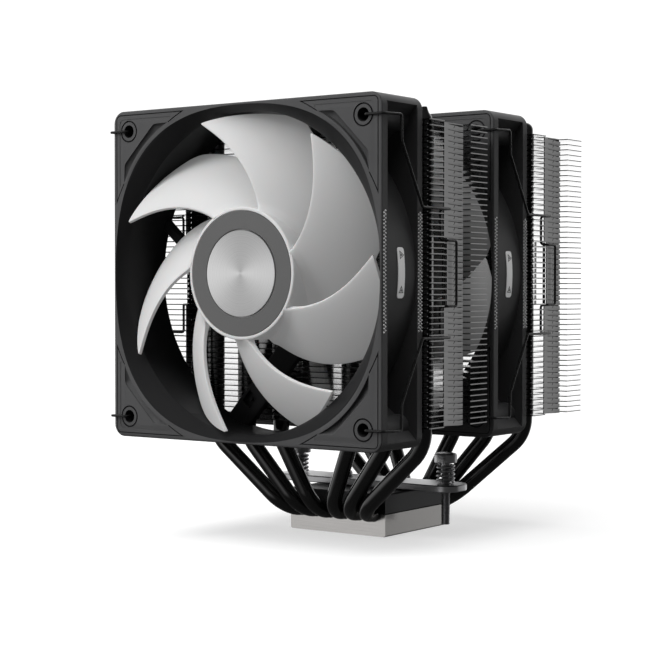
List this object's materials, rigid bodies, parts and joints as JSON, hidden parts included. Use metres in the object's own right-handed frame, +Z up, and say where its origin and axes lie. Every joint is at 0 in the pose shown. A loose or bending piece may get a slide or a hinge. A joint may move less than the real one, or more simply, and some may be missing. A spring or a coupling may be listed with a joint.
{
  "type": "cpu tower cooler",
  "caption": "Dual-tower processor air cooler: finned towers on curved heat pipes, two clipped-on fans, a nickel-plated cold plate and a sprung mounting bar.",
  "frame": {"origin": "centre of the cold plate's underside", "axes": "+Z up the towers, the front fan faces -Y, +X to the right seen from the front"},
  "size_m": [0.1272, 0.138, 0.158],
  "materials": {
    "frame": "fine moulded texture",
    "blade": "smooth satin",
    "trim": "satin",
    "badge": "concentric brushed",
    "steel": "nickel plated",
    "wire": "black coated spring wire",
    "magnet": "bonded ferrite",
    "bearing": "sintered",
    "copper": "enamelled copper wire",
    "board": "solder mask",
    "rubber": "soft matt",
    "cable": "black flat lead and plug",
    "fins": "black coated, satin",
    "pipes": "black coated, glossy",
    "block": "black coated, satin"
  },
  "bodies": {
    "heat_sink": {"front_fin_stack": "fins", "rear_fin_stack": "fins", "heat_pipe_1": "pipes", "heat_pipe_2": "pipes", "heat_pipe_3": "pipes", "heat_pipe_4": "pipes", "heat_pipe_5": "pipes", "heat_pipe_6": "pipes", "cold_plate": "steel", "base_block": "block", "mount_bar": "steel", "mount_bar_screw_left": "steel", "mount_bar_screw_right": "steel", "mount_spring_left": "steel", "mount_spring_right": "steel"},
    "left_mount_screw": {"mount_screw_left": "steel"},
    "right_mount_screw": {"mount_screw_right": "steel"},
    "front_fan": {"front_fan_frame": "frame", "front_fan_bearing_sleeve": "bearing", "front_fan_stator_core": "steel", "front_fan_winding": "copper", "front_fan_circuit_board": "board", "front_fan_pad_top_left": "rubber", "front_fan_pad_top_right": "rubber", "front_fan_pad_bottom_left": "rubber", "front_fan_pad_bottom_right": "rubber", "front_fan_cable": "cable", "front_fan_plug": "cable"},
    "front_rotor": {"front_fan_impeller": "blade", "front_fan_hub_ring": "trim", "front_fan_hub_disc": "badge", "front_fan_rotor_yoke": "steel", "front_fan_magnet_ring": "magnet", "front_fan_shaft": "steel"},
    "front_left_clip": {"front_fan_clip_left": "wire"},
    "front_right_clip": {"front_fan_clip_right": "wire"},
    "middle_fan": {"middle_fan_frame": "frame", "middle_fan_bearing_sleeve": "bearing", "middle_fan_stator_core": "steel", "middle_fan_winding": "copper", "middle_fan_circuit_board": "board", "middle_fan_pad_top_left": "rubber", "middle_fan_pad_top_right": "rubber", "middle_fan_pad_bottom_left": "rubber", "middle_fan_pad_bottom_right": "rubber", "middle_fan_cable": "cable", "middle_fan_plug": "cable"},
    "middle_rotor": {"middle_fan_impeller": "blade", "middle_fan_hub_ring": "trim", "middle_fan_hub_disc": "badge", "middle_fan_rotor_yoke": "steel", "middle_fan_magnet_ring": "magnet", "middle_fan_shaft": "steel"},
    "middle_left_clip": {"middle_fan_clip_left": "wire"},
    "middle_right_clip": {"middle_fan_clip_right": "wire"}
  },
  "joints": [
    {"name": "front_fan_height", "type": "slide", "parent": "heat_sink", "child": "front_fan", "axis": [0, 0, 1], "range_m": [-0.005, 0.025]},
    {"name": "front_fan_spin", "type": "hinge", "parent": "front_fan", "child": "front_rotor", "pos_m": [0, -0.081, 0.098], "axis": [0, -1, 0], "continuous": true},
    {"name": "front_left_clip_release", "type": "slide", "parent": "front_fan", "child": "front_left_clip", "axis": [0, -1, 0], "range_m": [0, 0.0022]},
    {"name": "front_right_clip_release", "type": "slide", "parent": "front_fan", "child": "front_right_clip", "axis": [0, -1, 0], "range_m": [0, 0.0022]},
    {"name": "middle_fan_height", "type": "slide", "parent": "heat_sink", "child": "middle_fan", "axis": [0, 0, 1], "range_m": [-0.005, 0.025]},
    {"name": "middle_fan_spin", "type": "hinge", "parent": "middle_fan", "child": "middle_rotor", "pos_m": [0, -0.0084, 0.098], "axis": [0, -1, 0], "continuous": true},
    {"name": "middle_left_clip_release", "type": "slide", "parent": "middle_fan", "child": "middle_left_clip", "axis": [0, -1, 0], "range_m": [0, 0.0022]},
    {"name": "middle_right_clip_release", "type": "slide", "parent": "middle_fan", "child": "middle_right_clip", "axis": [0, -1, 0], "range_m": [0, 0.0022]},
    {"name": "left_mount_screw_press", "type": "slide", "parent": "heat_sink", "child": "left_mount_screw", "axis": [0, 0, -1], "range_m": [0, 0.003], "stiffness_N_per_m": 3000, "deforming": ["mount_spring_left"]},
    {"name": "right_mount_screw_press", "type": "slide", "parent": "heat_sink", "child": "right_mount_screw", "axis": [0, 0, -1], "range_m": [0, 0.003], "stiffness_N_per_m": 3000, "deforming": ["mount_spring_right"]}
  ]
}
